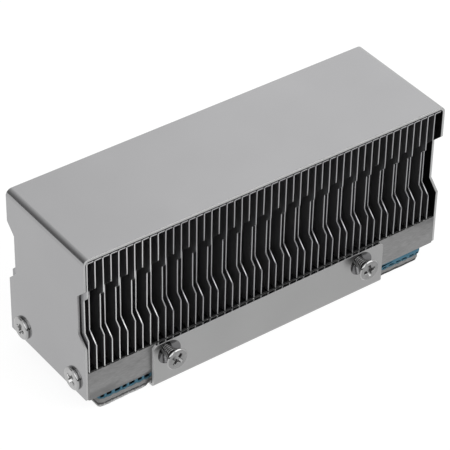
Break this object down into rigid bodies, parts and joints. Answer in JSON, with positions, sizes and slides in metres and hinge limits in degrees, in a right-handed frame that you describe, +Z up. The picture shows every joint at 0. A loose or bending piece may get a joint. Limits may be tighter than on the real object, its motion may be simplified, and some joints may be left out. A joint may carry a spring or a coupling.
{
  "type": "ssd heat sink",
  "caption": "Finned heat sink for an M.2 drive: folded cover with end plates over a fin stack on a milled bar, and a screw-on clamp tray with soft pads under it.",
  "frame": {"origin": "middle of the clamp tray's underside, midway between the end plates", "axes": "+X along the drive, from the end with the shallow-notched fin to the other; +Y from the front flange to the back flange; +Z up, out of the cover's top"},
  "size_m": [0.0754, 0.0292, 0.0325],
  "materials": {
    "satin_cover": "satin plated sheet",
    "milled_bar": "fine milled",
    "satin_tray": "satin blasted sheet",
    "fin_sheet": "plated sheet with bright sheared edges",
    "blue_pad": "matte silicone",
    "blue_film": "embossed film",
    "grey_pad": "matte silicone",
    "steel_screws": "turned steel",
    "plated_screws": "bright nickel plate"
  },
  "bodies": {
    "root": {"cover": "satin_cover", "base_block": "milled_bar", "clamp_tray": "satin_tray", "upper_pad": "blue_pad", "release_film": "blue_film", "lower_pad": "grey_pad", "clamp_screws": "steel_screws", "end_screws": "plated_screws", "fin_01": "fin_sheet", "fin_02": "fin_sheet", "fin_03": "fin_sheet", "fin_04": "fin_sheet", "fin_05": "fin_sheet", "fin_06": "fin_sheet", "fin_07": "fin_sheet", "fin_08": "fin_sheet", "fin_09": "fin_sheet", "fin_10": "fin_sheet", "fin_11": "fin_sheet", "fin_12": "fin_sheet", "fin_13": "fin_sheet", "fin_14": "fin_sheet", "fin_15": "fin_sheet", "fin_16": "fin_sheet", "fin_17": "fin_sheet", "fin_18": "fin_sheet", "fin_19": "fin_sheet", "fin_20": "fin_sheet", "fin_21": "fin_sheet", "fin_22": "fin_sheet", "fin_23": "fin_sheet", "fin_24": "fin_sheet", "fin_25": "fin_sheet", "fin_26": "fin_sheet", "fin_27": "fin_sheet", "fin_28": "fin_sheet", "fin_29": "fin_sheet", "fin_30": "fin_sheet", "fin_31": "fin_sheet", "fin_32": "fin_sheet", "fin_33": "fin_sheet", "fin_34": "fin_sheet", "fin_35": "fin_sheet", "fin_36": "fin_sheet", "fin_37": "fin_sheet", "fin_38": "fin_sheet", "fin_39": "fin_sheet", "fin_40": "fin_sheet", "fin_41": "fin_sheet", "fin_42": "fin_sheet", "fin_43": "fin_sheet", "fin_44": "fin_sheet", "fin_45": "fin_sheet", "fin_46": "fin_sheet", "fin_47": "fin_sheet", "fin_48": "fin_sheet"}
  },
  "joints": []
}
